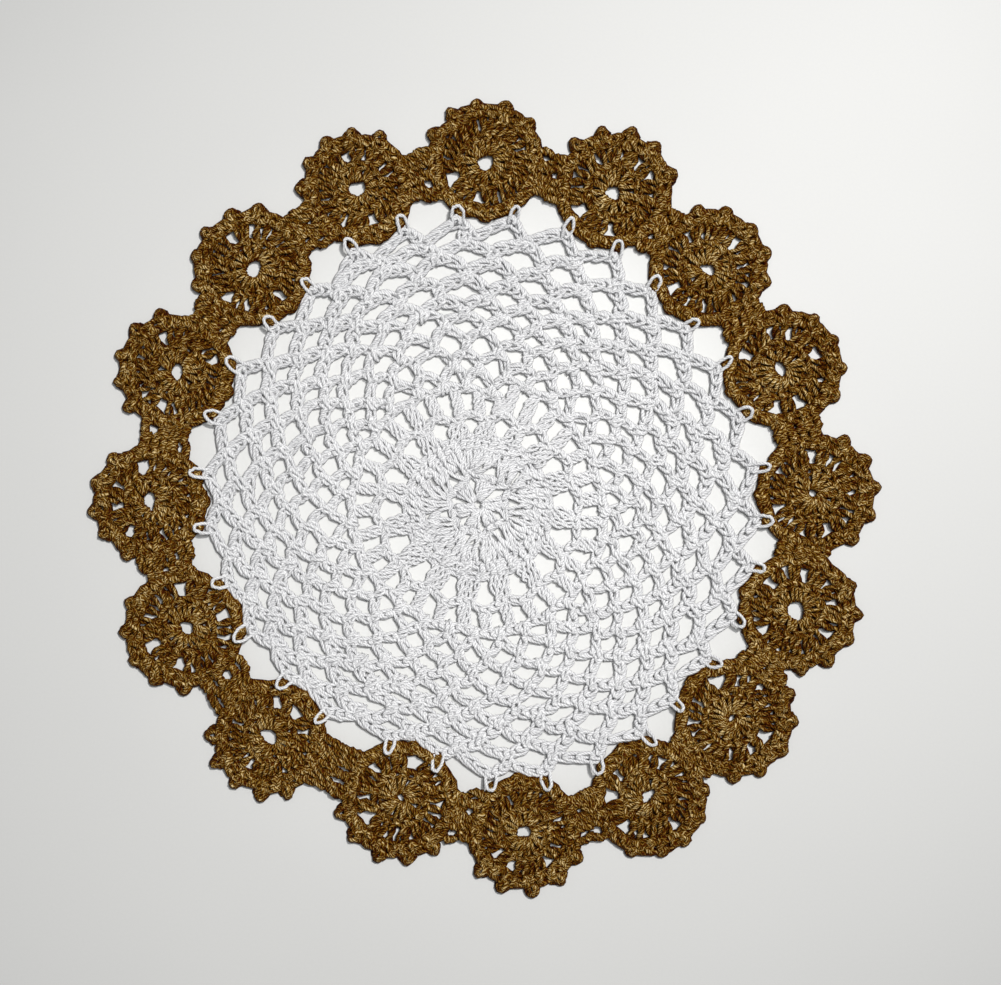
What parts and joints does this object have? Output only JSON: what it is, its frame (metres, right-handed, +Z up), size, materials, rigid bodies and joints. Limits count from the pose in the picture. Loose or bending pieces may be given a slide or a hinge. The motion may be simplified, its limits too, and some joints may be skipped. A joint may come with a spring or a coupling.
{
  "type": "lace doily",
  "caption": "Round crochet doily lying flat: an openwork net in white thread inside a ring of joined brown spoked wheels with knobbed edges.",
  "frame": {"origin": "middle of the doily on the surface it lies on", "axes": "+Z up out of the surface, +X to the right and +Y away as the doily lies"},
  "size_m": [0.2994, 0.3024, 0.0026],
  "materials": {
    "white_thread": "matte cotton thread",
    "brown_yarn": "matte plied yarn"
  },
  "bodies": {
    "root": {"net": "white_thread", "wheel_01": "brown_yarn", "wheel_02": "brown_yarn", "wheel_03": "brown_yarn", "wheel_04": "brown_yarn", "wheel_05": "brown_yarn", "wheel_06": "brown_yarn", "wheel_07": "brown_yarn", "wheel_08": "brown_yarn", "wheel_09": "brown_yarn", "wheel_10": "brown_yarn", "wheel_11": "brown_yarn", "wheel_12": "brown_yarn", "wheel_13": "brown_yarn", "wheel_14": "brown_yarn", "wheel_15": "brown_yarn", "wheel_16": "brown_yarn"}
  },
  "joints": []
}
